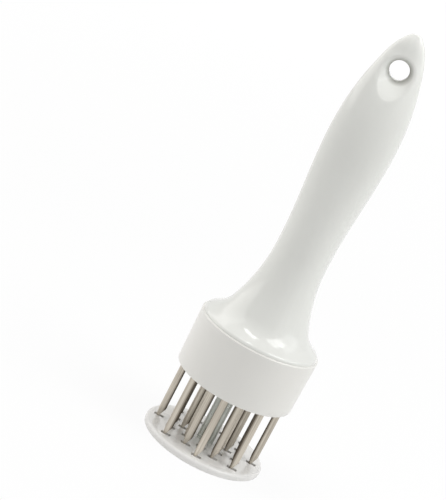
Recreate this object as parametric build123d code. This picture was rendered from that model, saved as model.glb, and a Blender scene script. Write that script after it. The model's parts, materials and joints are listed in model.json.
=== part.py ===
from build123d import *
import math
import os

os.makedirs("parts", exist_ok=True)

# Press-down meat tenderizer: a handle with a blade collar, and a sprung foot plate on a stem.
# The origin is the middle of the foot plate's underside, +Z runs up the tool, and -Y is its front.
# All sizes are in millimetres.

# Whole tool
overall_length = 203.5
plunge_travel = 29.2
plunge_stop_gap = 0.2

# Foot plate
plate_thickness = 3.2
plate_overhang = 0.85
plate_top_radius = 1.5
plate_bottom_radius = 0.7
plate_slot_side_gap = 0.7
plate_slot_face_gap = 0.5
stem_seat_depth = 0.6
stem_seat_gap = 0.05

# Blade collar
collar_height = 25.8
collar_bottom_diameter = 54.7
collar_draft = 0.55
collar_wall = 2.0
collar_bevel = 0.4
collar_edge_radius = 0.7
deck_thickness = 6.5
deck_drop = 5.4

# Blades
blades_per_ring = 8
blade_width = 3.2
blade_thickness = 1.5
blade_edge_radius = 0.7
blade_point_length = 5.0
blade_point_width = 0.5
blade_point_shift = 0.8
blade_tip_depth = 1.2
blade_head_overhang = 0.7
blade_head_height = 1.4
blade_fit = 0.05
blade_wall_gap = 0.85
middle_ring_share = 0.75
inner_ring_share = 0.475

# Backing plate over the blade heads
backing_thickness = 1.5
backing_edge_gap = 0.35

# Guide bush
stem_diameter = 8.0
stem_running_fit = 0.05
bush_wall = 2.1
bush_foot = 1.0
bush_flange_width = 3.2
bush_flange_thickness = 1.6
bush_fit = 0.05
bush_flange_gap = 0.1

# Stem, its screw and its stop ring
stem_guide_length = 26.0
stem_end_chamfer = 0.8
stop_ring_thickness = 1.0
stop_ring_width = 2.4
stop_ring_mouth = 5.6
stop_groove_depth = 0.7
stop_groove_play = 0.1
stop_ring_gap = 0.1
stem_screw_diameter = 3.2
stem_screw_length = 12.0
stem_screw_head_diameter = 7.4
stem_screw_head_height = 1.9
stem_screw_sink = 0.15
screw_fit = 0.06
screw_recess_width = 0.9
screw_recess_share = 0.7
screw_recess_depth = 0.8

# Return spring and its two seats
spring_wire = 1.2
spring_turns = 12
spring_closed_turns = 1
spring_closed_gap = 0.6
spring_fitted_length = 58.6
spring_stem_gap = 2.0
spring_bore_gap = 0.9
spring_end_gap = 0.05
seat_thickness = 1.0
seat_edge_gap = 0.25

# Collar screws
collar_screws = 4
collar_screw_angle = 45.0
collar_screw_diameter = 3.0
collar_screw_grip = 8.0
collar_screw_head_diameter = 5.4
collar_screw_head_height = 1.8
collar_screw_head_sink = 0.2
boss_wall = 2.0

# Handle: bell
bell_step = 0.8
bell_rim_land = 0.1
bell_shoulder_radius = 1.9
bell_slope = 33.0
bell_ledge = 7.0
bell_kink_radius = 14.0
bell_wall = 2.4
lip_height = 3.2
lip_wall = 1.8
lip_fit = 0.12
rib_thickness = 1.8
rib_rise = 1.0
cavity_drop = 20.0

# Handle: neck and grip
neck_radius = 12.3
neck_rise = 40.0
neck_length = 3.0
tube_wall = 2.2
grip_steps = 5
tip_steps = 10
bulb_drop = 50.5
bulb_half_width = 15.1
bulb_half_depth = 11.6
tip_half_width = 1.2
tip_half_depth = 1.0
tip_edge_radius = 0.8
width_fullness = 2.0
width_sharpness = 0.7
depth_fullness = 1.6
depth_sharpness = 1.1
core_wall = 37.5
core_step = 2.0
core_rounding = 0.8

# Hang hole
hang_hole_diameter = 8.6
hang_hole_drop = 16.3
hang_hole_land = 5.0
hang_hole_angle = 54.0
hang_hole_edge_radius = 1.5
hang_hole_rim_radius = 2.0

# Heights that follow from the sizes above
collar_bottom = plate_thickness + plunge_travel + plunge_stop_gap
seam = collar_bottom + collar_height
deck_top = seam - deck_drop
deck_bottom = deck_top - deck_thickness
backing_top = deck_top + backing_thickness
bush_top = backing_top + bush_flange_thickness
stop_bottom = bush_top + stop_ring_gap
stop_top = stop_bottom + stop_ring_thickness
lower_seat_top = stop_top + stop_groove_play + seat_thickness
upper_seat_bottom = lower_seat_top + spring_fitted_length
bore_top = upper_seat_bottom + seat_thickness
neck_height = seam + neck_rise
bulb_height = overall_length - bulb_drop
hang_hole_height = overall_length - hang_hole_drop
core_top = overall_length - core_wall
tube_bottom = bush_top + bush_flange_gap
bell_rim_height = bell_rim_land + bell_shoulder_radius * math.tan(math.radians(90 - bell_slope) / 2)

# Radii that follow from the sizes above
collar_bottom_radius = collar_bottom_diameter / 2
collar_top_radius = collar_bottom_radius + collar_draft
plate_radius = collar_bottom_radius + plate_overhang
bell_rim_radius = collar_top_radius - bell_step
outer_ring_radius = collar_bottom_radius - collar_wall - blade_wall_gap - blade_width / 2
middle_ring_radius = outer_ring_radius * middle_ring_share
inner_ring_radius = outer_ring_radius * inner_ring_share
boss_circle_radius = (outer_ring_radius + inner_ring_radius) / 2
stem_radius = stem_diameter / 2
bush_bore = stem_radius + stem_running_fit
bush_radius = bush_bore + bush_wall
spring_radius = stem_radius + spring_stem_gap + spring_wire / 2
bore_radius = spring_radius + spring_wire / 2 + spring_bore_gap
core_radius = bore_radius - core_step
tube_radius = bore_radius + tube_wall
boss_hole_radius = collar_screw_diameter / 2 + screw_fit
boss_radius = boss_hole_radius + boss_wall


def collar_inner_radius(height):
    """Inside of the drafted collar wall at a height."""
    share = (height - collar_bottom) / collar_height
    return collar_bottom_radius + collar_draft * share - collar_wall


lip_radius = collar_inner_radius(seam - lip_height) - lip_fit


def post(radius, bottom, top, at=(0, 0)):
    """Upright cylinder between two heights."""
    stand = Align.CENTER, Align.CENTER, Align.MIN
    return Pos(at[0], at[1], bottom) * Cylinder(radius, top - bottom, align=stand)


def washer(outer, inner, bottom, top):
    """Flat ring between two heights."""
    return post(outer, bottom, top) - post(inner, bottom, top)


def spin(points):
    """Solid turned about Z from a half outline of radius and height pairs."""
    outline = Polyline(*points, close=True)
    return revolve(Plane.XZ * make_face(outline), Axis.Z)


def on_circle(radius, angle):
    """Point on a circle about Z."""
    turn = math.radians(angle)
    return radius * math.cos(turn), radius * math.sin(turn)


def nearest_corner(face, point):
    """The corner of a flat outline that lies nearest to a point."""
    return face.vertices().sort_by_distance((point[0], point[1], 0))[0]


def blade_places():
    """Name and place of every blade, ring by ring."""
    half_step = 180 / blades_per_ring
    rings = (
        ("outer", outer_ring_radius, 0),
        ("middle", middle_ring_radius, half_step),
        ("inner", inner_ring_radius, 0),
    )
    places = {}
    for ring, radius, start in rings:
        for index in range(blades_per_ring):
            angle = start + index * 360 / blades_per_ring
            places[f"blade_{ring}_{index + 1}"] = on_circle(radius, angle)
    return places


def collar_screw_places():
    """Centres of the collar screws, in the gaps between the blade rings."""
    step = 360 / collar_screws
    return [on_circle(boss_circle_radius, collar_screw_angle + step * i) for i in range(collar_screws)]


# Foot plate: pierced disc with a seat for the stem and a countersink below
def make_foot_plate():
    plate = post(plate_radius, 0, plate_thickness)
    plate = fillet(plate.edges().group_by(Axis.Z)[-1], plate_top_radius)
    plate = fillet(plate.edges().group_by(Axis.Z)[0], plate_bottom_radius)
    plate -= post(stem_radius + stem_seat_gap, plate_thickness - stem_seat_depth, plate_thickness)
    hole = stem_screw_diameter / 2 + screw_fit
    plate -= post(hole, 0, plate_thickness)
    head = stem_screw_head_diameter / 2 + screw_fit
    neck = stem_screw_sink + stem_screw_head_height
    plate -= spin([(0, 0), (head, 0), (head, stem_screw_sink), (hole, neck), (0, neck)])
    slot = extrude(
        Rectangle(blade_width + 2 * plate_slot_side_gap, blade_thickness + 2 * plate_slot_face_gap),
        plate_thickness,
    )
    return plate - [Pos(x, y, 0) * slot for x, y in blade_places().values()]


# Blade: flattened pin with a head in the deck and a one-sided chisel point in the plate's slot
def make_blade():
    tip = plate_thickness - blade_tip_depth
    neck = tip + blade_point_length
    length = deck_top - tip
    section = RectangleRounded(blade_width, blade_thickness, blade_edge_radius)
    shank = Pos(0, 0, tip) * extrude(section, length)
    half = blade_width / 2
    point_left = -blade_point_shift - blade_point_width / 2
    point_right = point_left + blade_point_width
    outline = Polyline(
        (point_left, tip), (point_right, tip), (half, neck),
        (half, deck_top), (-half, deck_top), (-half, neck), close=True,
    )
    shank &= extrude(Plane.XZ * make_face(outline), blade_thickness, both=True)
    head_width = blade_width + 2 * blade_head_overhang
    head = Pos(0, 0, deck_top - blade_head_height) * extrude(
        Rectangle(head_width, blade_thickness), blade_head_height
    )
    return shank + head


# Blade collar: drafted skirt with the pierced deck that carries the blades
def make_blade_collar():
    rim = collar_inner_radius(collar_bottom)
    skirt = spin([
        (rim, collar_bottom),
        (collar_bottom_radius, collar_bottom),
        (collar_top_radius, seam),
        (collar_inner_radius(seam), seam),
        (collar_inner_radius(deck_top), deck_top),
        (0, deck_top),
        (0, deck_bottom),
        (collar_inner_radius(deck_bottom), deck_bottom),
    ])
    lower_edge = skirt.edges().filter_by(GeomType.CIRCLE).group_by(Axis.Z)[0].sort_by(SortBy.RADIUS)[-1]
    skirt = fillet(lower_edge, collar_edge_radius)
    upper_edge = skirt.edges().filter_by(GeomType.CIRCLE).group_by(Axis.Z)[-1].sort_by(SortBy.RADIUS)[-1]
    skirt = chamfer(upper_edge, collar_bevel)
    skirt -= post(bush_radius + bush_fit, deck_bottom, deck_top)
    slot = Pos(0, 0, deck_bottom) * extrude(
        RectangleRounded(blade_width + 2 * blade_fit, blade_thickness + 2 * blade_fit, blade_edge_radius),
        deck_thickness,
    )
    head_width = blade_width + 2 * blade_head_overhang + 2 * blade_fit
    slot += Pos(0, 0, deck_top - blade_head_height - blade_fit) * extrude(
        Rectangle(head_width, blade_thickness + 2 * blade_fit), blade_head_height + blade_fit
    )
    skirt -= [Pos(x, y, 0) * slot for x, y in blade_places().values()]
    head_floor = deck_bottom + collar_screw_head_sink + collar_screw_head_height
    for place in collar_screw_places():
        skirt -= post(boss_hole_radius, deck_bottom, deck_top, place)
        skirt -= post(collar_screw_head_diameter / 2 + screw_fit, deck_bottom, head_floor, place)
    return skirt


# Backing plate: steel disc that keeps the blade heads down in the deck
def make_backing_plate():
    edge = collar_inner_radius(deck_top) - backing_edge_gap
    plate = washer(edge, bush_radius + bush_fit, deck_top, backing_top)
    return plate - [post(boss_hole_radius, deck_top, backing_top, place) for place in collar_screw_places()]


# Guide bush: flanged sleeve that the stem slides in
def make_guide_bush():
    bush = post(bush_radius, deck_bottom - bush_foot, bush_top)
    bush += post(bush_radius + bush_flange_width, backing_top, bush_top)
    return bush - post(bush_bore, deck_bottom - bush_foot, bush_top)


# Screw with a pan head below and a cross recess in the head
def make_collar_screw():
    head_bottom = deck_bottom + collar_screw_head_sink
    head_top = head_bottom + collar_screw_head_height
    head_radius = collar_screw_head_diameter / 2
    screw = post(head_radius, head_bottom, head_top)
    screw = fillet(screw.edges().group_by(Axis.Z)[0], collar_screw_head_height / 2)
    screw += post(collar_screw_diameter / 2, head_top, backing_top + collar_screw_grip)
    return screw - cross_recess(collar_screw_diameter, head_bottom)


def cross_recess(length, bottom):
    """Two crossed grooves in the underside of a screw head."""
    span = length * screw_recess_share
    bars = Rectangle(span, screw_recess_width) + Rectangle(screw_recess_width, span)
    return Pos(0, 0, bottom) * extrude(bars, screw_recess_depth)


def make_collar_screws():
    return Compound([Pos(x, y, 0) * make_collar_screw() for x, y in collar_screw_places()])


# Stem: round bar with a screw hole below and a groove for the stop ring
def make_stem():
    bottom = plate_thickness - stem_seat_depth
    top = lower_seat_top + stem_guide_length
    stem = post(stem_radius, bottom, top)
    stem = chamfer(stem.edges().group_by(Axis.Z)[-1], stem_end_chamfer)
    groove = washer(stem_radius, stem_radius - stop_groove_depth, stop_bottom - stop_groove_play,
                    stop_top + stop_groove_play)
    hole_top = stem_screw_sink + stem_screw_head_height + stem_screw_length + screw_fit
    return stem - groove - post(stem_screw_diameter / 2 + screw_fit, bottom, hole_top)


# Countersunk screw that holds the plate to the stem
def make_stem_screw():
    head, shank = stem_screw_head_diameter / 2, stem_screw_diameter / 2
    bottom = stem_screw_sink
    neck = bottom + stem_screw_head_height
    screw = spin([(0, bottom), (head, bottom), (shank, neck), (shank, neck + stem_screw_length),
                  (0, neck + stem_screw_length)])
    return screw - cross_recess(stem_screw_head_diameter, bottom)


# Stop ring: snap ring in the stem's groove, which lands on the bush when the plate is down
def make_stop_ring():
    inner = stem_radius - stop_groove_depth + stop_groove_play
    outer = inner + stop_ring_width
    ring = washer(outer, inner, stop_bottom, stop_top)
    mouth = Pos(outer / 2, 0, stop_bottom) * extrude(Rectangle(outer, stop_ring_mouth), stop_ring_thickness)
    return ring - mouth


def make_lower_spring_seat():
    bottom = lower_seat_top - seat_thickness
    return washer(bore_radius - seat_edge_gap, stem_radius + seat_edge_gap, bottom, lower_seat_top)


def make_upper_spring_seat():
    return washer(bore_radius - seat_edge_gap, core_radius, upper_seat_bottom, bore_top)


# Return spring: one wire along biarcs, a quarter turn each, with a closed turn at each end
def spring_heights():
    """Height of the wire's middle at each quarter turn."""
    quarters = spring_turns * 4
    closed = spring_closed_turns * 4
    bottom = lower_seat_top + spring_wire / 2 + spring_end_gap
    top = upper_seat_bottom - spring_wire / 2 - spring_end_gap
    closed_rise = (spring_wire + spring_closed_gap) / 4
    open_rise = (top - bottom - 2 * closed * closed_rise) / (quarters - 2 * closed)
    heights = [bottom]
    for index in range(quarters):
        is_closed = index < closed or index >= quarters - closed
        heights.append(heights[-1] + (closed_rise if is_closed else open_rise))
    return heights


def biarc(start, start_way, end, end_way):
    """Two arcs that leave and arrive along the given directions."""
    chord = end - start
    ways = start_way + end_way
    turn = 2 * (1 - start_way.dot(end_way))
    along = chord.dot(ways)
    reach = (math.sqrt(along * along + turn * chord.dot(chord)) - along) / turn
    first, last = start + start_way * reach, end - end_way * reach
    middle = (first + last) / 2
    return [
        Edge.make_tangent_arc(start, start_way, middle),
        Edge.make_tangent_arc(middle, (last - first).normalized(), end),
    ]


def least_gap(path, wire):
    """Least space between the wire and its own next turns, measured on points."""
    points = [edge @ share for edge in path for share in (0, 0.5)]
    skip = 8
    spans = [
        (points[i] - points[j]).length
        for i in range(len(points))
        for j in range(i + skip, len(points))
    ]
    return min(spans) - wire


def make_return_spring():
    heights = spring_heights()
    points, ways = [], []
    quarter = math.pi / 2
    for index, height in enumerate(heights):
        x, y = on_circle(spring_radius, 90 * index)
        low, high = max(index - 1, 0), min(index + 1, len(heights) - 1)
        rise = (heights[high] - heights[low]) / ((high - low) * quarter)
        points.append(Vector(x, y, height))
        ways.append(Vector(-y, x, rise).normalized())
    path = []
    for index in range(len(points) - 1):
        path += biarc(points[index], ways[index], points[index + 1], ways[index + 1])
    print(f"return_spring: least gap between turns {least_gap(path, spring_wire):.2f} mm")
    section = Plane(points[0], z_dir=ways[0]) * Circle(spring_wire / 2)
    return sweep(section, path=Wire(path))


# Handle: one moulding of bell, neck and grip, with the spring bore up its middle
def bell_curve(inset, start_radius):
    """Slope and flare of the bell, moved inwards by a wall: start, kink, middle of the flare and neck."""
    slope = math.radians(bell_slope)
    way = (-math.cos(slope), math.sin(slope))
    flare_width = bell_rim_radius - bell_ledge - neck_radius
    flare_height = neck_rise - bell_rim_height - bell_ledge * math.tan(slope)
    flare_radius = (flare_width ** 2 + flare_height ** 2) / (2 * flare_width)
    rise = (bell_rim_radius - start_radius) * math.tan(slope) - inset / math.cos(slope)
    start = (start_radius, seam + bell_rim_height + rise)
    centre = (neck_radius + flare_radius, neck_height)
    radius = flare_radius + inset
    offset = (start[0] - centre[0], start[1] - centre[1])
    along = offset[0] * way[0] + offset[1] * way[1]
    inside = radius ** 2 - offset[0] ** 2 - offset[1] ** 2
    reach = math.sqrt(along ** 2 + inside) - along
    kink = (start[0] + way[0] * reach, start[1] + way[1] * reach)
    turn = math.asin((neck_height - kink[1]) / radius) / 2
    middle = (centre[0] - radius * math.cos(turn), centre[1] - radius * math.sin(turn))
    return start, kink, middle, (neck_radius - inset, neck_height)


def make_bell():
    corner, kink, middle, neck = bell_curve(0, bell_rim_radius)
    rim = (bell_rim_radius, seam)
    outline = [
        Polyline((0, neck_height), (0, seam), rim, corner, kink),
        ThreePointArc(kink, middle, neck),
        Line(neck, (0, neck_height)),
    ]
    face = make_face(outline)
    face = fillet(nearest_corner(face, corner), bell_shoulder_radius)
    face = fillet(nearest_corner(face, kink), bell_kink_radius)
    return revolve(Plane.XZ * face, Axis.Z)


def taper(share, fullness, sharpness):
    """How a half size of the grip dies away from the bulb, share 1, to the tip, share 0."""
    return (1 - (1 - share) ** fullness) ** sharpness


def grip_sections():
    """Height, half width and half depth of the grip's sections, from the neck to the tip."""
    sections = [(neck_height, neck_radius, neck_radius)]
    start = neck_height + neck_length
    for index in range(grip_steps):
        share = index / grip_steps
        ease = share * share * (3 - 2 * share)
        sections.append((
            start + (bulb_height - start) * share,
            neck_radius + (bulb_half_width - neck_radius) * ease,
            neck_radius + (bulb_half_depth - neck_radius) * ease,
        ))
    for index in range(tip_steps):
        share = 1 - math.sin(math.pi / 2 * index / tip_steps)
        width_share = taper(share, width_fullness, width_sharpness)
        depth_share = taper(share, depth_fullness, depth_sharpness)
        sections.append((
            overall_length - bulb_drop * share,
            tip_half_width + (bulb_half_width - tip_half_width) * width_share,
            tip_half_depth + (bulb_half_depth - tip_half_depth) * depth_share,
        ))
    sections.append((overall_length, tip_half_width, tip_half_depth))
    return sections


def make_grip():
    grip = loft([Pos(0, 0, z) * Ellipse(width, depth) for z, width, depth in grip_sections()])
    return fillet(grip.edges().group_by(Axis.Z)[-1], tip_edge_radius)


def hang_hole_cutter():
    """Round hole along Y with a wide countersink at each face."""
    radius, land = hang_hole_diameter / 2, hang_hole_land / 2
    reach = bulb_half_depth
    mouth = radius + (reach - land) * math.tan(math.radians(hang_hole_angle))
    outline = Polyline(
        (0, -reach), (mouth, -reach), (radius, -land), (radius, land), (mouth, reach), (0, reach), close=True,
    )
    face = make_face(outline)
    for end in (-land, land):
        face = fillet(nearest_corner(face, (radius, end)), hang_hole_edge_radius)
    return Pos(0, 0, hang_hole_height) * revolve(face, Axis.Y)


def hang_hole_rims(body):
    """The two closed edges where the countersinks break out of the grip."""
    low = hang_hole_height - hang_hole_drop
    edges = body.edges().filter_by(GeomType.BSPLINE)
    return [edge for edge in edges if edge.center().Z > low and abs(edge.center().Y) > hang_hole_land / 2]


def bell_cavity():
    """Space under the bell, less the spring tube, the screw bosses and the ribs between them."""
    lip_inner = lip_radius - lip_wall
    start, kink, middle, neck = bell_curve(bell_wall, lip_inner)
    outline = [
        Polyline(neck, (0, neck_height), (0, seam - lip_height), (lip_inner, seam - lip_height), start, kink),
        ThreePointArc(kink, middle, neck),
    ]
    space = revolve(Plane.XZ * make_face(outline), Axis.Z)
    space -= post(tube_radius, seam, neck_height)
    for x, y in collar_screw_places():
        space -= post(boss_radius, seam, neck_height, (x, y))
        rib = Rectangle(2 * bell_rim_radius, rib_thickness, align=(Align.MIN, Align.CENTER))
        turn = math.degrees(math.atan2(y, x))
        space -= Pos(0, 0, seam + rib_rise) * Rot(0, 0, turn) * extrude(rib, neck_rise)
    return space & post(bell_rim_radius, seam, neck_height - cavity_drop)


def make_handle():
    body = make_bell() + make_grip() - hang_hole_cutter()
    body = fillet(hang_hole_rims(body), hang_hole_rim_radius)
    body -= bell_cavity()
    body += washer(lip_radius, lip_radius - lip_wall, seam - lip_height, seam)
    body += post(tube_radius, tube_bottom, seam)
    for place in collar_screw_places():
        body += post(boss_radius, backing_top, seam, place)
    body -= post(bore_radius, tube_bottom, bore_top)
    core = post(core_radius, bore_top, core_top)
    body -= fillet(core.edges().group_by(Axis.Z)[-1], core_radius * core_rounding)
    pilot_top = backing_top + collar_screw_grip + screw_fit
    return body - [post(boss_hole_radius, backing_top, pilot_top, place) for place in collar_screw_places()]


nodes = {
    "foot_plate": make_foot_plate(),
    "blade_collar": make_blade_collar(),
    "backing_plate": make_backing_plate(),
    "guide_bush": make_guide_bush(),
    "collar_screws": make_collar_screws(),
    "stem": make_stem(),
    "stem_screw": make_stem_screw(),
    "stop_ring": make_stop_ring(),
    "lower_spring_seat": make_lower_spring_seat(),
    "upper_spring_seat": make_upper_spring_seat(),
    "return_spring": make_return_spring(),
    "handle": make_handle(),
}
blade = make_blade()
for name, (x, y) in blade_places().items():
    nodes[name] = Pos(x, y, 0) * blade

for name, shape in nodes.items():
    export_step(shape, f"parts/{name}.step")
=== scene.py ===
import json
import math

import bmesh
import bpy
from mathutils import Matrix, Quaternion, Vector


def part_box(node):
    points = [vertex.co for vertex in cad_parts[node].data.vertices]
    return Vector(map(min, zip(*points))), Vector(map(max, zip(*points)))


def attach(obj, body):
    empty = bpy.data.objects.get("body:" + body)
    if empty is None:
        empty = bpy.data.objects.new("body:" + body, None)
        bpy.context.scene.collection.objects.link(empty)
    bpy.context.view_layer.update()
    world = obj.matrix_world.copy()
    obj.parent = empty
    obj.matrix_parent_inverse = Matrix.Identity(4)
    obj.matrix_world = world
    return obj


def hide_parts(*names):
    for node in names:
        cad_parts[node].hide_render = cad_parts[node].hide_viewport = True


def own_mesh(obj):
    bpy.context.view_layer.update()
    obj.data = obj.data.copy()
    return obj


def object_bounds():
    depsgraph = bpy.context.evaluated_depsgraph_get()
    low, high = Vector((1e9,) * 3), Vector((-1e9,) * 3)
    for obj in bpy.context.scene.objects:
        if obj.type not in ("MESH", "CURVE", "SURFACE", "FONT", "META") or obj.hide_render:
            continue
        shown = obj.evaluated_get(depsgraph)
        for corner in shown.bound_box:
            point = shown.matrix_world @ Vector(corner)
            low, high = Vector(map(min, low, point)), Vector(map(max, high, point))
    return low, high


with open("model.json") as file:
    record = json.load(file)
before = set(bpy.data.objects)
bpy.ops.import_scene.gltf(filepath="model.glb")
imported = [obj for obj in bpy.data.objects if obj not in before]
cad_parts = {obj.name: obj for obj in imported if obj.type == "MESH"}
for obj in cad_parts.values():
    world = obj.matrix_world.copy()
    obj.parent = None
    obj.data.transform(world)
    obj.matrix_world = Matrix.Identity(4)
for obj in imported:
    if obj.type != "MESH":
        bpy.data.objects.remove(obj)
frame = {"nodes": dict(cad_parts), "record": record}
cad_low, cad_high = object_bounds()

# Press tenderizer: white mouldings, steel blades and a sprung foot plate, in metres.
# The tool stands on its plate at the origin, +Z runs up the handle, and -Y is the front.

MM = 0.001
TURN = 2 * math.pi

# Camera: a long lens, rolled so that the tool leans to the right
CAMERA_PLACE = Vector((0.0, -0.7469, 0.2860))
CAMERA_AIM = Vector((-0.03104, 0.0, 0.08347))
CAMERA_ROLL = math.radians(27.19)
CAMERA_LENS = 129.6
SENSOR = 36.0

# Light that the white room throws on things
ROOM_LIGHT = 0.355

# Floor: white paper under a glow that only sight meets, a little stronger far from the tool
FLOOR_REACH = 12.0
FLOOR_PAPER = (0.9, 0.9, 0.9)
FLOOR_GLOW_SHARE = 0.91
FLOOR_FAR_GLOW = 1.065
FLOOR_NEAR = 0.3
FLOOR_FAR = 1.8

# Soft lights on the tool's middle: name, azimuth, elevation, distance, width and height, power, colour
SOFT_LIGHTS = (
    ("left_wall", -100, 30, 2.4, (2.6, 2.6), 29.5, (1.0, 0.985, 0.96)),
    ("right_wall", 90, 40, 1.3, (1.0, 1.0), 5.1, (0.985, 1.0, 0.995)),
    ("right_front", 50, 30, 1.3, (0.8, 0.8), 1.0, (1.0, 1.0, 1.0)),
    ("back_wall", 180, 18, 3.6, (2.0, 2.0), 7.3, (1.0, 1.0, 0.98)),
    ("ceiling", 0, 88, 1.3, (0.8, 0.8), 0.35, (0.98, 0.98, 1.0)),
    ("left_window", -70, 77, 1.1, (0.17, 0.42), 1.5, (1.0, 1.0, 1.0)),
    ("right_window", 71, 61, 1.1, (0.5, 0.5), 3.2, (1.0, 1.0, 1.0)),
)

# Narrow light on the handle's tip
TIP_LIGHT_AIM = Vector((0, -7.0 * MM, 197.0 * MM))
TIP_LIGHT_AZIMUTH = -15
TIP_LIGHT_ELEVATION = 74
TIP_LIGHT_DISTANCE = 1.0
TIP_LIGHT_REACH = 10.5 * MM
TIP_LIGHT_RADIUS = 10.0 * MM
TIP_LIGHT_POWER = 16.0

# Span that most values of a noise lie in
NOISE_LOW = 0.3
NOISE_HIGH = 0.7

# Plastic: flow marks in the colour and the gloss, and a fine skin, in waves a metre
FLOW_WAVES = 35
FLOW_DETAIL = 3
FLOW_STRETCH = (1, 1, 0.35)
SKIN_WAVES = 900
SKIN_DETAIL = 2
SKIN_STRENGTH = 0.5
PLASTIC_SMOOTHEST = 0.85
PLASTIC_ROUGHEST = 1.2
PLASTIC_IOR = 1.5

# Steel: lines along the metal and clouds in the gloss, in waves a metre
LINE_WAVES = 1500
LINE_DETAIL = 4
LINE_STRENGTH = 0.6
CLOUD_WAVES = 180
CLOUD_DETAIL = 2
STEEL_SMOOTHEST = 0.8
STEEL_ROUGHEST = 1.25

# Line where the halves of the handle's mould meet
PARTING_WIDTH = 0.25 * MM
PARTING_HEIGHT = 0.06 * MM

# Painted shade in the hang hole and round its edge, darkening the plastic where shadow falls
HOLE_SHADE_END = 6.2 * MM
HOLE_SHADE_SHIFT = Vector((0.35 * MM, 0, -0.25 * MM))
HOLE_SHADE = (0.36, 0.36, 0.325)

# Merging of a solid's mesh, and the angles from which an edge stays sharp
MERGE_DISTANCE = 0.0005 * MM
CREASE = math.radians(25)
BLADE_CREASE = math.radians(35)

# Pieces with the solid's own shape: name, node, body, slot
PLAIN_PIECES = (
    ("collar_moulding", "blade_collar", "head", "collar_plastic"),
    ("bush_sleeve", "guide_bush", "head", "bush_plastic"),
    ("collar_screw_set", "collar_screws", "head", "screw_steel"),
    ("foot_disc", "foot_plate", "plunger", "plate_plastic"),
    ("stem_bar", "stem", "plunger", "stem_steel"),
    ("foot_screw", "stem_screw", "plunger", "screw_steel"),
    ("backing_disc", "backing_plate", "head", "plain_steel"),
    ("snap_ring", "stop_ring", "plunger", "spring_steel"),
    ("lower_washer", "lower_spring_seat", "plunger", "plain_steel"),
    ("upper_washer", "upper_spring_seat", "head", "plain_steel"),
)

# Tip of the handle: shares that it gains in width and depth, and the heights between which they grow
TIP_WIDER = 0.095
TIP_WIDE_START = 184.0 * MM
TIP_WIDE_END = 202.0 * MM
TIP_DEEPER = 0.5
TIP_DEEP_START = 193.5 * MM
TIP_DEEP_END = 201.0 * MM
TIP_TOP_SHARE = 0.4

# Blade rings, with the turn of each, and the painted shade on the blades' inner sides, where shadow falls
# between them
BLADES_PER_RING = 8
BLADE_RINGS = (("outer", 0.0), ("middle", TURN / 16), ("inner", 0.0))
ACROSS = "across"
INNER_SIDE = "inner_side"
SHADE_START = 0.25 * MM
SHADE_END = 1.35 * MM
MIDDLE_BAND = 2.0 * MM

# Return spring
SPRING_TURNS = 12
SPRING_CLOSED_TURNS = 1
SPRING_WIRE = 1.2 * MM
SPRING_CLOSED_GAP = 0.6 * MM
SPRING_STEPS_PER_TURN = 48
SPRING_WIRE_SIDES = 16


# Node helpers
def add_node(tree, kind, **settings):
    """New node with its plain settings."""
    node = tree.nodes.new(kind)
    for name, value in settings.items():
        setattr(node, name, value)
    return node


def calculate(tree, operation, first, second=0):
    """Math node on two sockets or numbers."""
    node = add_node(tree, "ShaderNodeMath", operation=operation)
    for socket, value in zip(node.inputs, (first, second)):
        if isinstance(value, bpy.types.NodeSocket):
            tree.links.new(value, socket)
        else:
            socket.default_value = value
    return node.outputs[0]


# Shader helpers
def noise(tree, coordinates, waves, detail, stretch=(1, 1, 1)):
    """Noise of so many waves a metre, drawn out along an axis by a stretch below 1."""
    place = add_node(tree, "ShaderNodeMapping")
    place.inputs["Scale"].default_value = stretch
    tree.links.new(coordinates, place.inputs["Vector"])
    pattern = add_node(tree, "ShaderNodeTexNoise")
    pattern.inputs["Scale"].default_value = waves
    pattern.inputs["Detail"].default_value = detail
    tree.links.new(place.outputs["Vector"], pattern.inputs["Vector"])
    return pattern.outputs["Fac"]


def spread(tree, value, low, high, start=NOISE_LOW, end=NOISE_HIGH):
    """Brings a value that runs from a start to an end into the range from low to high."""
    ramp = add_node(tree, "ShaderNodeMapRange")
    ramp.inputs["From Min"].default_value = start
    ramp.inputs["From Max"].default_value = end
    ramp.inputs["To Min"].default_value = low
    ramp.inputs["To Max"].default_value = high
    tree.links.new(value, ramp.inputs["Value"])
    return ramp.outputs["Result"]


def tint(tree, value, first, second):
    """Colour between two, each a colour or a socket, by a value from 0 to 1."""
    blend = add_node(tree, "ShaderNodeMix", data_type="RGBA")
    sockets = [socket for socket in blend.inputs if socket.type == "RGBA"]
    for socket, colour in zip(sockets, (first, second)):
        if isinstance(colour, bpy.types.NodeSocket):
            tree.links.new(colour, socket)
        else:
            socket.default_value = (*colour, 1)
    tree.links.new(value, blend.inputs["Factor"])
    return next(socket for socket in blend.outputs if socket.type == "RGBA")


def relief(tree, height, depth, strength, under=None):
    """Bump of a real depth in metres, laid over another where one is given."""
    bump = add_node(tree, "ShaderNodeBump")
    bump.inputs["Distance"].default_value = depth
    bump.inputs["Strength"].default_value = strength
    tree.links.new(height, bump.inputs["Height"])
    if under is not None:
        tree.links.new(under, bump.inputs["Normal"])
    return bump.outputs["Normal"]


def start_material(name):
    """Empty material with its shader and the piece's own coordinates."""
    material = bpy.data.materials.new(name)
    material.use_nodes = True
    tree = material.node_tree
    shader = tree.nodes["Principled BSDF"]
    coordinates = add_node(tree, "ShaderNodeTexCoord").outputs["Object"]
    return material, tree, shader, coordinates


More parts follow.
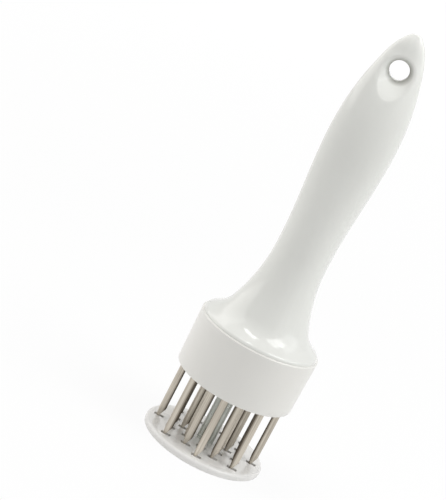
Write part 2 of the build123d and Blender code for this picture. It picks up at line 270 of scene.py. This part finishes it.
# Finishes
def painted_hole_shade(tree, coordinates):
    """Share of painted shade at a place: 1 in the hang hole, 0 away from it."""
    hole = next(mount for mount in frame["record"]["mounts"] if mount["name"] == "hang_hole")
    shift = add_node(tree, "ShaderNodeVectorMath", operation="SUBTRACT")
    shift.inputs[1].default_value = Vector(hole["pos_m"]) + HOLE_SHADE_SHIFT
    tree.links.new(coordinates, shift.inputs[0])
    flat = add_node(tree, "ShaderNodeVectorMath", operation="MULTIPLY")
    flat.inputs[1].default_value = (1, 0, 1)
    tree.links.new(shift.outputs["Vector"], flat.inputs[0])
    reach = add_node(tree, "ShaderNodeVectorMath", operation="LENGTH")
    tree.links.new(flat.outputs["Vector"], reach.inputs[0])
    return spread(tree, reach.outputs["Value"], 1, 0, hole["dims"]["r_mm"] * MM, HOLE_SHADE_END)


def parting_line(tree, coordinates):
    """Height of the mould's line at a place: 1 on the handle's middle plane, 0 away from it."""
    split = add_node(tree, "ShaderNodeSeparateXYZ")
    tree.links.new(coordinates, split.inputs["Vector"])
    beside = calculate(tree, "ABSOLUTE", split.outputs["Y"])
    return spread(tree, beside, 1, 0, 0, PARTING_WIDTH)


def moulded_plastic(name, pale, deep, gloss, skin_depth, handle=False):
    """White moulded plastic: faint flow marks in the colour and a fine skin over the gloss. The handle has a
    line where its moulds part and a painted shade in its hang hole."""
    material, tree, shader, coordinates = start_material(name)
    flow = noise(tree, coordinates, FLOW_WAVES, FLOW_DETAIL, FLOW_STRETCH)
    skin = noise(tree, coordinates, SKIN_WAVES, SKIN_DETAIL)
    colour = tint(tree, spread(tree, flow, 0, 1), pale, deep)
    surface = relief(tree, skin, skin_depth, SKIN_STRENGTH)
    if handle:
        # Painted shade: the colour darkens in and round the hang hole where shadow falls
        colour = tint(tree, painted_hole_shade(tree, coordinates), colour, HOLE_SHADE)
        surface = relief(tree, parting_line(tree, coordinates), PARTING_HEIGHT, 1.0, surface)
    roughness = spread(tree, flow, gloss * PLASTIC_SMOOTHEST, gloss * PLASTIC_ROUGHEST)
    tree.links.new(colour, shader.inputs["Base Color"])
    tree.links.new(roughness, shader.inputs["Roughness"])
    tree.links.new(surface, shader.inputs["Normal"])
    shader.inputs["IOR"].default_value = PLASTIC_IOR
    return material


def drawn_steel(name, pale, deep, gloss, stretch, line_depth, painted_shade=None):
    """Bare steel with lines along the way that it was drawn or rolled.
    A painted shade, where one is given, darkens the blades' inner sides where shadow falls between the
    blades."""
    material, tree, shader, coordinates = start_material(name)
    lines = noise(tree, coordinates, LINE_WAVES, LINE_DETAIL, stretch)
    cloud = noise(tree, coordinates, CLOUD_WAVES, CLOUD_DETAIL)
    colour = tint(tree, spread(tree, lines, 0, 1), pale, deep)
    if painted_shade:
        # Painted shade: darker colour on each blade's side towards the tool's middle
        side = add_node(tree, "ShaderNodeAttribute", attribute_name=INNER_SIDE)
        share = spread(tree, side.outputs["Fac"], 0, 1, SHADE_START, SHADE_END)
        colour = tint(tree, share, colour, painted_shade)
    roughness = spread(tree, cloud, gloss * STEEL_SMOOTHEST, gloss * STEEL_ROUGHEST)
    tree.links.new(colour, shader.inputs["Base Color"])
    tree.links.new(roughness, shader.inputs["Roughness"])
    tree.links.new(relief(tree, lines, line_depth, LINE_STRENGTH), shader.inputs["Normal"])
    shader.inputs["Metallic"].default_value = 1.0
    return material


def make_finishes():
    """One material for each slot of the record: name, pale and deep colour, roughness, then the texture."""
    along = (1, 1, 0.02)
    short_along = (1, 1, 0.2)
    sideways = (0.05, 1, 1)
    every_way = (1, 1, 1)
    fine = 0.01 * MM
    return {
        "handle_plastic": moulded_plastic(
            "handle_gloss", (0.80, 0.805, 0.77), (0.775, 0.78, 0.745), 0.11, fine, handle=True),
        "collar_plastic": moulded_plastic(
            "collar_satin", (0.825, 0.815, 0.78), (0.80, 0.79, 0.755), 0.34, 2 * fine),
        "plate_plastic": moulded_plastic(
            "plate_gloss", (0.845, 0.835, 0.815), (0.815, 0.805, 0.785), 0.26, 1.5 * fine),
        "bush_plastic": moulded_plastic(
            "bush_acetal", (0.74, 0.74, 0.70), (0.68, 0.68, 0.64), 0.4, 2 * fine),
        # Blade steel, with a painted shade on the blades' inner sides
        "blade_steel": drawn_steel(
            "blade_strip", (0.66, 0.61, 0.53), (0.42, 0.38, 0.32), 0.34, along, fine,
            painted_shade=(0.12, 0.10, 0.075)),
        "stem_steel": drawn_steel(
            "stem_bar_steel", (0.62, 0.64, 0.60), (0.44, 0.46, 0.42), 0.3, along, 1.2 * fine),
        "spring_steel": drawn_steel(
            "spring_wire", (0.48, 0.48, 0.47), (0.38, 0.38, 0.37), 0.35, every_way, fine),
        "screw_steel": drawn_steel(
            "screw_steel", (0.60, 0.60, 0.59), (0.50, 0.50, 0.49), 0.3, short_along, fine),
        "plain_steel": drawn_steel(
            "sheet_steel", (0.56, 0.56, 0.55), (0.47, 0.47, 0.46), 0.38, sideways, fine),
    }


# Smooth pieces on the solids
def merged_mesh(node, crease):
    """Closed, smooth copy of a solid's mesh, with its creases kept sharp."""
    build = bmesh.new()
    build.from_mesh(frame["nodes"][node].data)
    bmesh.ops.remove_doubles(build, verts=build.verts, dist=MERGE_DISTANCE)
    for face in build.faces:
        face.smooth = True
    for edge in build.edges:
        edge.smooth = edge.calc_face_angle(math.pi) < crease
    mesh = bpy.data.meshes.new(f"{node}_mesh")
    build.to_mesh(mesh)
    build.free()
    normals = mesh.attributes.get("custom_normal")
    if normals is not None:
        mesh.attributes.remove(normals)
    return mesh


def place_piece(name, mesh, body, slot, nodes):
    """A finished mesh as a piece on a body, standing for its solids."""
    piece = bpy.data.objects.new(name, mesh)
    bpy.context.scene.collection.objects.link(piece)
    mesh.materials.clear()
    mesh.materials.append(finishes[slot])
    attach(piece, body)
    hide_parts(*nodes)
    return piece


def make_plain_pieces():
    """Smooth pieces with exactly the solids' shapes."""
    for name, node, body, slot in PLAIN_PIECES:
        place_piece(name, merged_mesh(node, CREASE), body, slot, [node])


def ease(value, start, end):
    """Smooth step from 0 at the start to 1 at the end."""
    share = min(max((value - start) / (end - start), 0), 1)
    return share * share * (3 - 2 * share)


def make_handle():
    """The handle, with a tip that is fuller in width and depth than its solid's."""
    mesh = merged_mesh("handle", CREASE)
    for vertex in mesh.vertices:
        height = vertex.co.z
        wider = ease(height, TIP_WIDE_START, TIP_WIDE_END)
        deeper = ease(height, TIP_DEEP_START, TIP_DEEP_END)
        deeper *= 1 - (1 - TIP_TOP_SHARE) * ease(height, TIP_DEEP_END, cad_high.z)
        vertex.co.x *= 1 + TIP_WIDER * wider
        vertex.co.y *= 1 + TIP_DEEPER * deeper
    place_piece("handle_moulding", mesh, "head", "handle_plastic", ["handle"])


# Geometry Nodes helpers
def start_tree(name, inputs):
    """Empty tree with named inputs."""
    tree = bpy.data.node_groups.new(name, "GeometryNodeTree")
    for label, kind in inputs.items():
        tree.interface.new_socket(label, in_out="INPUT", socket_type=f"NodeSocket{kind}")
    tree.interface.new_socket("Geometry", in_out="OUTPUT", socket_type="NodeSocketGeometry")
    return tree, add_node(tree, "NodeGroupInput"), add_node(tree, "NodeGroupOutput")


def finish_tree(tree, geometry, material, result):
    """Gives the geometry its material and hands it out."""
    coat = add_node(tree, "GeometryNodeSetMaterial")
    tree.links.new(geometry, coat.inputs["Geometry"])
    tree.links.new(material, coat.inputs["Material"])
    tree.links.new(coat.outputs["Geometry"], result.inputs["Geometry"])


def realize(tree, geometry):
    """Real geometry in place of instances."""
    whole = add_node(tree, "GeometryNodeRealizeInstances")
    tree.links.new(geometry, whole.inputs["Geometry"])
    return whole.outputs["Geometry"]


def position_across(tree):
    """Place of each point along X."""
    position = add_node(tree, "GeometryNodeInputPosition").outputs["Position"]
    split = add_node(tree, "ShaderNodeSeparateXYZ")
    tree.links.new(position, split.inputs["Vector"])
    return split.outputs["X"]


def store_value(tree, geometry, name, value):
    """Keeps a number on every point under a name."""
    store = add_node(tree, "GeometryNodeStoreNamedAttribute", data_type="FLOAT", domain="POINT")
    store.inputs["Name"].default_value = name
    tree.links.new(geometry, store.inputs["Geometry"])
    tree.links.new(value, store.inputs["Value"])
    return store.outputs["Geometry"]


def grow_mesh(name, tree, values):
    """Plain mesh that a tree gives for these values."""
    holder = bpy.data.objects.new(name, bpy.data.meshes.new(name))
    bpy.context.scene.collection.objects.link(holder)
    modifier = holder.modifiers.new(name, "NODES")
    modifier.node_group = tree
    for item in tree.interface.items_tree:
        if item.in_out == "INPUT":
            modifier[item.identifier] = values[item.name]
    graph = bpy.context.evaluated_depsgraph_get()
    mesh = bpy.data.meshes.new_from_object(holder.evaluated_get(graph))
    holder.modifiers.remove(modifier)
    bpy.data.objects.remove(holder)
    return mesh


# Blades
def mark_inner_sides(tree, geometry):
    """Keeps how far each point of a blade lies from the blade's own middle towards the tool's, in metres:
    the mask of the painted shade.
    """
    across = add_node(tree, "GeometryNodeInputNamedAttribute", data_type="FLOAT")
    across.inputs["Name"].default_value = ACROSS
    offset = across.outputs["Attribute"]
    centre = calculate(tree, "SUBTRACT", position_across(tree), offset)
    side = calculate(tree, "DIVIDE", centre, -MIDDLE_BAND)
    side = calculate(tree, "MINIMUM", calculate(tree, "MAXIMUM", side, -1), 1)
    return store_value(tree, geometry, INNER_SIDE, calculate(tree, "MULTIPLY", side, offset))


def blade_tree():
    """One blade on each point of the rings, never turned, so that every flat face looks to the front."""
    inputs = {"Blade": "Object", "Count": "Int", "Steel": "Material"}
    for ring, _ in BLADE_RINGS:
        inputs[f"{ring} radius"] = "Float"
        inputs[f"{ring} turn"] = "Rotation"
    tree, given, result = start_tree("blade_rings", inputs)
    blade = add_node(tree, "GeometryNodeObjectInfo")
    tree.links.new(given.outputs["Blade"], blade.inputs["Object"])
    pin = store_value(tree, blade.outputs["Geometry"], ACROSS, position_across(tree))
    gather = add_node(tree, "GeometryNodeJoinGeometry")
    for ring, _ in BLADE_RINGS:
        circle = add_node(tree, "GeometryNodeMeshCircle")
        tree.links.new(given.outputs["Count"], circle.inputs["Vertices"])
        tree.links.new(given.outputs[f"{ring} radius"], circle.inputs["Radius"])
        turned = add_node(tree, "GeometryNodeTransform")
        tree.links.new(circle.outputs["Mesh"], turned.inputs["Geometry"])
        tree.links.new(given.outputs[f"{ring} turn"], turned.inputs["Rotation"])
        blades = add_node(tree, "GeometryNodeInstanceOnPoints")
        tree.links.new(turned.outputs["Geometry"], blades.inputs["Points"])
        tree.links.new(pin, blades.inputs["Instance"])
        tree.links.new(blades.outputs["Instances"], gather.inputs["Geometry"])
    marked = mark_inner_sides(tree, realize(tree, gather.outputs["Geometry"]))
    finish_tree(tree, marked, given.outputs["Steel"], result)
    return tree


def middle_of(node):
    """Middle of a solid's box, on the ground plane."""
    low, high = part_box(node)
    return Vector(((low.x + high.x) / 2, (low.y + high.y) / 2, 0))


def make_blades():
    """All blades as one piece, from the solid of the first."""
    pattern = "blade_outer_1"
    mesh = merged_mesh(pattern, BLADE_CREASE)
    mesh.transform(Matrix.Translation(-middle_of(pattern)))
    stock = bpy.data.objects.new("blade_stock", mesh)
    bpy.context.scene.collection.objects.link(stock)
    values = {"Blade": stock, "Count": BLADES_PER_RING, "Steel": finishes["blade_steel"]}
    nodes = []
    for ring, turn in BLADE_RINGS:
        values[f"{ring} radius"] = middle_of(f"blade_{ring}_1").length
        values[f"{ring} turn"] = (0, 0, turn)
        nodes += [f"blade_{ring}_{index + 1}" for index in range(BLADES_PER_RING)]
    rings = grow_mesh("blade_rings", blade_tree(), values)
    bpy.data.objects.remove(stock)
    place_piece("blade_set", rings, "head", "blade_steel", nodes)


# Return spring
def spring_climb(tree, given, turns):
    """Height of the helix after so many turns: slow in the closed turns at each end, steady between them."""
    closed = given.outputs["Closed turns"]
    rise = given.outputs["Closed rise"]
    low = calculate(tree, "MINIMUM", turns, closed)
    open_end = calculate(tree, "SUBTRACT", given.outputs["Turns"], closed)
    high = calculate(tree, "MAXIMUM", calculate(tree, "SUBTRACT", turns, open_end), 0)
    middle = calculate(tree, "SUBTRACT", calculate(tree, "SUBTRACT", turns, low), high)
    height = calculate(tree, "SUBTRACT", given.outputs["Top"], given.outputs["Bottom"])
    closed_turns = calculate(tree, "MULTIPLY", closed, 2)
    closed_height = calculate(tree, "MULTIPLY", closed_turns, rise)
    open_height = calculate(tree, "SUBTRACT", height, closed_height)
    open_turns = calculate(tree, "SUBTRACT", given.outputs["Turns"], closed_turns)
    open_rise = calculate(tree, "DIVIDE", open_height, open_turns)
    ends = calculate(tree, "MULTIPLY", calculate(tree, "ADD", low, high), rise)
    climb = calculate(tree, "ADD", ends, calculate(tree, "MULTIPLY", middle, open_rise))
    return calculate(tree, "ADD", climb, given.outputs["Bottom"])


def spring_tree():
    """A round wire along a helix, with closed turns at each end."""
    tree, given, result = start_tree("spring_coil", {
        "Turns": "Float",
        "Steps": "Int",
        "Radius": "Float",
        "Wire": "Float",
        "Bottom": "Float",
        "Top": "Float",
        "Closed turns": "Float",
        "Closed rise": "Float",
        "Sides": "Int",
        "Steel": "Material",
    })
    line = add_node(tree, "GeometryNodeMeshLine")
    tree.links.new(given.outputs["Steps"], line.inputs["Count"])
    index = add_node(tree, "GeometryNodeInputIndex").outputs["Index"]
    last = calculate(tree, "SUBTRACT", given.outputs["Steps"], 1)
    share = calculate(tree, "DIVIDE", index, last)
    turns = calculate(tree, "MULTIPLY", share, given.outputs["Turns"])
    angle = calculate(tree, "MULTIPLY", turns, TURN)
    across = calculate(tree, "MULTIPLY", calculate(tree, "COSINE", angle), given.outputs["Radius"])
    along = calculate(tree, "MULTIPLY", calculate(tree, "SINE", angle), given.outputs["Radius"])
    point = add_node(tree, "ShaderNodeCombineXYZ")
    tree.links.new(across, point.inputs["X"])
    tree.links.new(along, point.inputs["Y"])
    tree.links.new(spring_climb(tree, given, turns), point.inputs["Z"])
    helix = add_node(tree, "GeometryNodeSetPosition")
    tree.links.new(line.outputs["Mesh"], helix.inputs["Geometry"])
    tree.links.new(point.outputs["Vector"], helix.inputs["Position"])
    path = add_node(tree, "GeometryNodeMeshToCurve")
    tree.links.new(helix.outputs["Geometry"], path.inputs["Mesh"])
    section = add_node(tree, "GeometryNodeCurvePrimitiveCircle")
    tree.links.new(given.outputs["Sides"], section.inputs["Resolution"])
    tree.links.new(given.outputs["Wire"], section.inputs["Radius"])
    wire = add_node(tree, "GeometryNodeCurveToMesh")
    wire.inputs["Fill Caps"].default_value = True
    tree.links.new(path.outputs["Curve"], wire.inputs["Curve"])
    tree.links.new(section.outputs["Curve"], wire.inputs["Profile Curve"])
    finish_tree(tree, realize(tree, wire.outputs["Mesh"]), given.outputs["Steel"], result)
    return tree


def make_spring():
    """The spring in its solid's space."""
    low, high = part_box("return_spring")
    coil = grow_mesh("spring_coil", spring_tree(), {
        "Turns": float(SPRING_TURNS),
        "Steps": SPRING_TURNS * SPRING_STEPS_PER_TURN + 1,
        "Radius": (high.x - low.x - SPRING_WIRE) / 2,
        "Wire": SPRING_WIRE / 2,
        "Bottom": low.z + SPRING_WIRE / 2,
        "Top": high.z - SPRING_WIRE / 2,
        "Closed turns": float(SPRING_CLOSED_TURNS),
        "Closed rise": SPRING_WIRE + SPRING_CLOSED_GAP,
        "Sides": SPRING_WIRE_SIDES,
        "Steel": finishes["spring_steel"],
    })
    piece = place_piece("spring_coil", coil, "head", "spring_steel", ["return_spring"])
    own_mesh(piece)


# Stage, light and camera
def level_by_ray(tree, seen, lit):
    """Level that sight, gloss and glass meet, and another for light on other things."""
    path = add_node(tree, "ShaderNodeLightPath")
    sight = calculate(tree, "MAXIMUM", path.outputs["Is Camera Ray"], path.outputs["Is Glossy Ray"])
    sight = calculate(tree, "MAXIMUM", sight, path.outputs["Is Transmission Ray"])
    return spread(tree, sight, lit, seen, 0, 1)


def make_room():
    """White all round to the eye, with a lower light on things."""
    world = bpy.data.worlds.new("studio")
    world.use_nodes = True
    tree = world.node_tree
    background = tree.nodes["Background"]
    background.inputs["Color"].default_value = (1, 1, 1, 1)
    tree.links.new(level_by_ray(tree, 1, ROOM_LIGHT), background.inputs["Strength"])
    bpy.context.scene.world = world


def floor_paper():
    """Matt white that takes a faint shadow and runs into the white of the room."""
    material = bpy.data.materials.new("floor_white")
    material.use_nodes = True
    tree = material.node_tree
    paper = tree.nodes["Principled BSDF"]
    paper.inputs["Base Color"].default_value = (*FLOOR_PAPER, 1)
    paper.inputs["Roughness"].default_value = 1.0
    paper.inputs["Specular IOR Level"].default_value = 0.0
    away = add_node(tree, "ShaderNodeVectorMath", operation="LENGTH")
    tree.links.new(add_node(tree, "ShaderNodeTexCoord").outputs["Object"], away.inputs[0])
    strength = spread(tree, away.outputs["Value"], 1, FLOOR_FAR_GLOW, FLOOR_NEAR, FLOOR_FAR)
    glow = add_node(tree, "ShaderNodeEmission")
    tree.links.new(strength, glow.inputs["Strength"])
    mix = add_node(tree, "ShaderNodeMixShader")
    tree.links.new(level_by_ray(tree, FLOOR_GLOW_SHARE, 0), mix.inputs["Fac"])
    tree.links.new(paper.outputs["BSDF"], mix.inputs[1])
    tree.links.new(glow.outputs["Emission"], mix.inputs[2])
    tree.links.new(mix.outputs["Shader"], tree.nodes["Material Output"].inputs["Surface"])
    return material


def make_floor():
    """Square floor under the tool."""
    signs = ((-1, -1), (1, -1), (1, 1), (-1, 1))
    corners = [(x * FLOOR_REACH, y * FLOOR_REACH, 0) for x, y in signs]
    mesh = bpy.data.meshes.new("floor")
    mesh.from_pydata(corners, [], [(0, 1, 2, 3)])
    mesh.materials.append(floor_paper())
    floor = bpy.data.objects.new("floor", mesh)
    bpy.context.scene.collection.objects.link(floor)


def place_light(lamp, azimuth, elevation, distance, aim):
    """Hangs a lamp round a place and points it there: azimuth from the front towards +X, in degrees."""
    turn = math.radians(azimuth)
    rise = math.radians(elevation)
    level = math.cos(rise)
    way = Vector((math.sin(turn) * level, -math.cos(turn) * level, math.sin(rise)))
    light = bpy.data.objects.new(lamp.name, lamp)
    light.location = aim + way * distance
    light.rotation_mode = "QUATERNION"
    light.rotation_quaternion = (-way).to_track_quat("-Z", "Y")
    light.visible_camera = False
    bpy.context.scene.collection.objects.link(light)
    return light


def soft_light(name, azimuth, elevation, distance, size, power, colour):
    """Soft light of a width and height on the tool's middle."""
    lamp = bpy.data.lights.new(name, "AREA")
    lamp.shape = "RECTANGLE"
    lamp.size, lamp.size_y = size
    lamp.energy = power
    lamp.color = colour
    place_light(lamp, azimuth, elevation, distance, (cad_low + cad_high) / 2)


def tip_light():
    """Narrow light from above on the handle's tip and hang hole, without a glint."""
    lamp = bpy.data.lights.new("tip_spot", "SPOT")
    lamp.spot_size = 2 * math.atan(TIP_LIGHT_REACH / TIP_LIGHT_DISTANCE)
    lamp.spot_blend = 1.0
    lamp.shadow_soft_size = TIP_LIGHT_RADIUS
    lamp.energy = TIP_LIGHT_POWER
    light = place_light(lamp, TIP_LIGHT_AZIMUTH, TIP_LIGHT_ELEVATION, TIP_LIGHT_DISTANCE, TIP_LIGHT_AIM)
    light.visible_glossy = False


def make_lights():
    """Walls and windows as soft lights, and the narrow one on the tip."""
    for row in SOFT_LIGHTS:
        soft_light(*row)
    tip_light()


def make_camera():
    """The view of the tool that leans to the right."""
    lens = bpy.data.cameras.new("camera")
    lens.lens = CAMERA_LENS
    lens.sensor_width = SENSOR
    camera = bpy.data.objects.new("camera", lens)
    camera.location = CAMERA_PLACE
    camera.rotation_mode = "QUATERNION"
    look = (CAMERA_AIM - CAMERA_PLACE).to_track_quat("-Z", "Y")
    camera.rotation_quaternion = look @ Quaternion((0, 0, 1), CAMERA_ROLL)
    bpy.context.scene.collection.objects.link(camera)
    bpy.context.scene.camera = camera


finishes = make_finishes()
make_handle()
make_plain_pieces()
make_blades()
make_spring()
make_room()
make_floor()
make_lights()
make_camera()
bpy.context.scene.view_settings.view_transform = "Standard"
